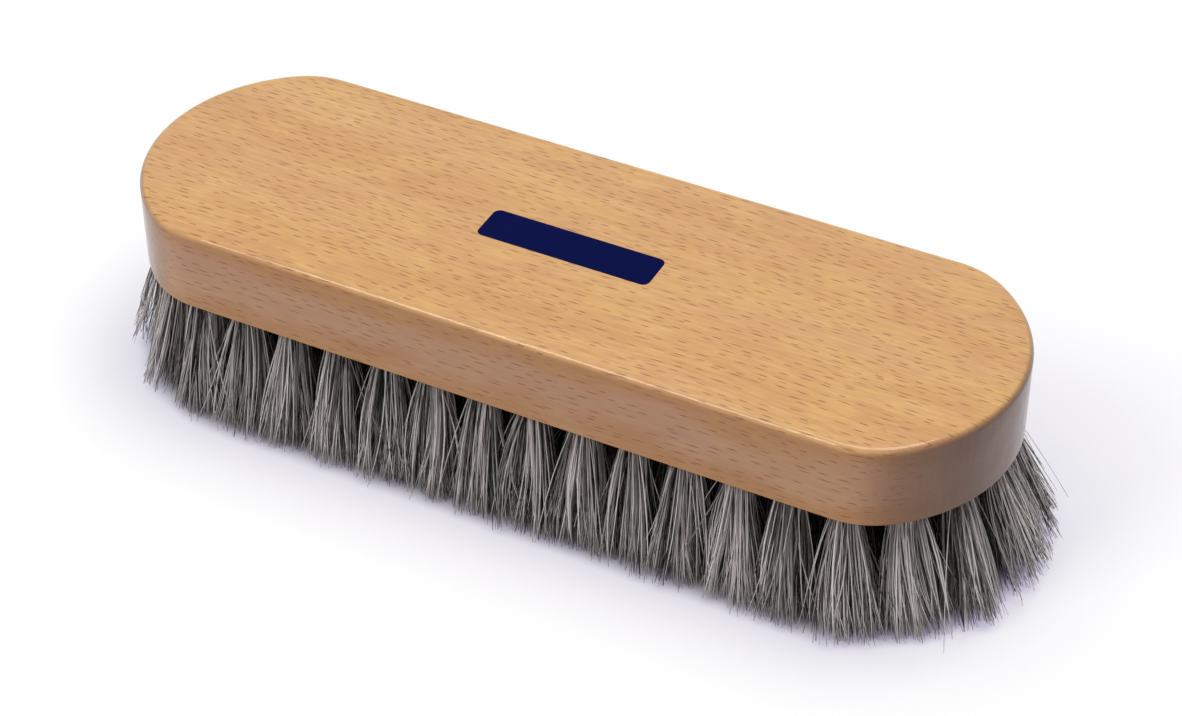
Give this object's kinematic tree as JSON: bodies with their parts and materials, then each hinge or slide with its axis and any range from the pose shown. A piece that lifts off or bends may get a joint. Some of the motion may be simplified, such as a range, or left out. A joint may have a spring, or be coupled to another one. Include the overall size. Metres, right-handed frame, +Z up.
{
  "type": "shoe shine brush",
  "caption": "Shoe shine brush: a lacquered beech block with rounded ends, filled with grey horsehair tufts that lean outwards, and a bare printed panel on its back.",
  "frame": {"origin": "middle of the plane of the bristle tips, on which the brush stands, under the middle of the block", "axes": "+X along the length of the brush, +Y across it, +Z up from the bristle tips to the flat back"},
  "size_m": [0.189, 0.068, 0.0441],
  "materials": {
    "lacquered_beech": "clear gloss lacquer over steamed beech",
    "navy_print": "navy foil print under the lacquer, bare",
    "horsehair": "grey mixed horsehair, cut to length",
    "wire_anchor": "plain flat steel wire"
  },
  "bodies": {
    "root": {"wood_block": "lacquered_beech", "label_panel": "navy_print", "tufts_outer_front": "horsehair", "tufts_outer_back": "horsehair", "tufts_outer_left": "horsehair", "tufts_outer_right": "horsehair", "tufts_middle_front": "horsehair", "tufts_middle_back": "horsehair", "tufts_middle_left": "horsehair", "tufts_middle_right": "horsehair", "tufts_inner_front": "horsehair", "tufts_inner_back": "horsehair", "tufts_inner_left": "horsehair", "tufts_inner_right": "horsehair", "anchors_outer_front": "wire_anchor", "anchors_outer_back": "wire_anchor", "anchors_outer_left": "wire_anchor", "anchors_outer_right": "wire_anchor", "anchors_middle_front": "wire_anchor", "anchors_middle_back": "wire_anchor", "anchors_middle_left": "wire_anchor", "anchors_middle_right": "wire_anchor", "anchors_inner_front": "wire_anchor", "anchors_inner_back": "wire_anchor", "anchors_inner_left": "wire_anchor", "anchors_inner_right": "wire_anchor"}
  },
  "joints": []
}
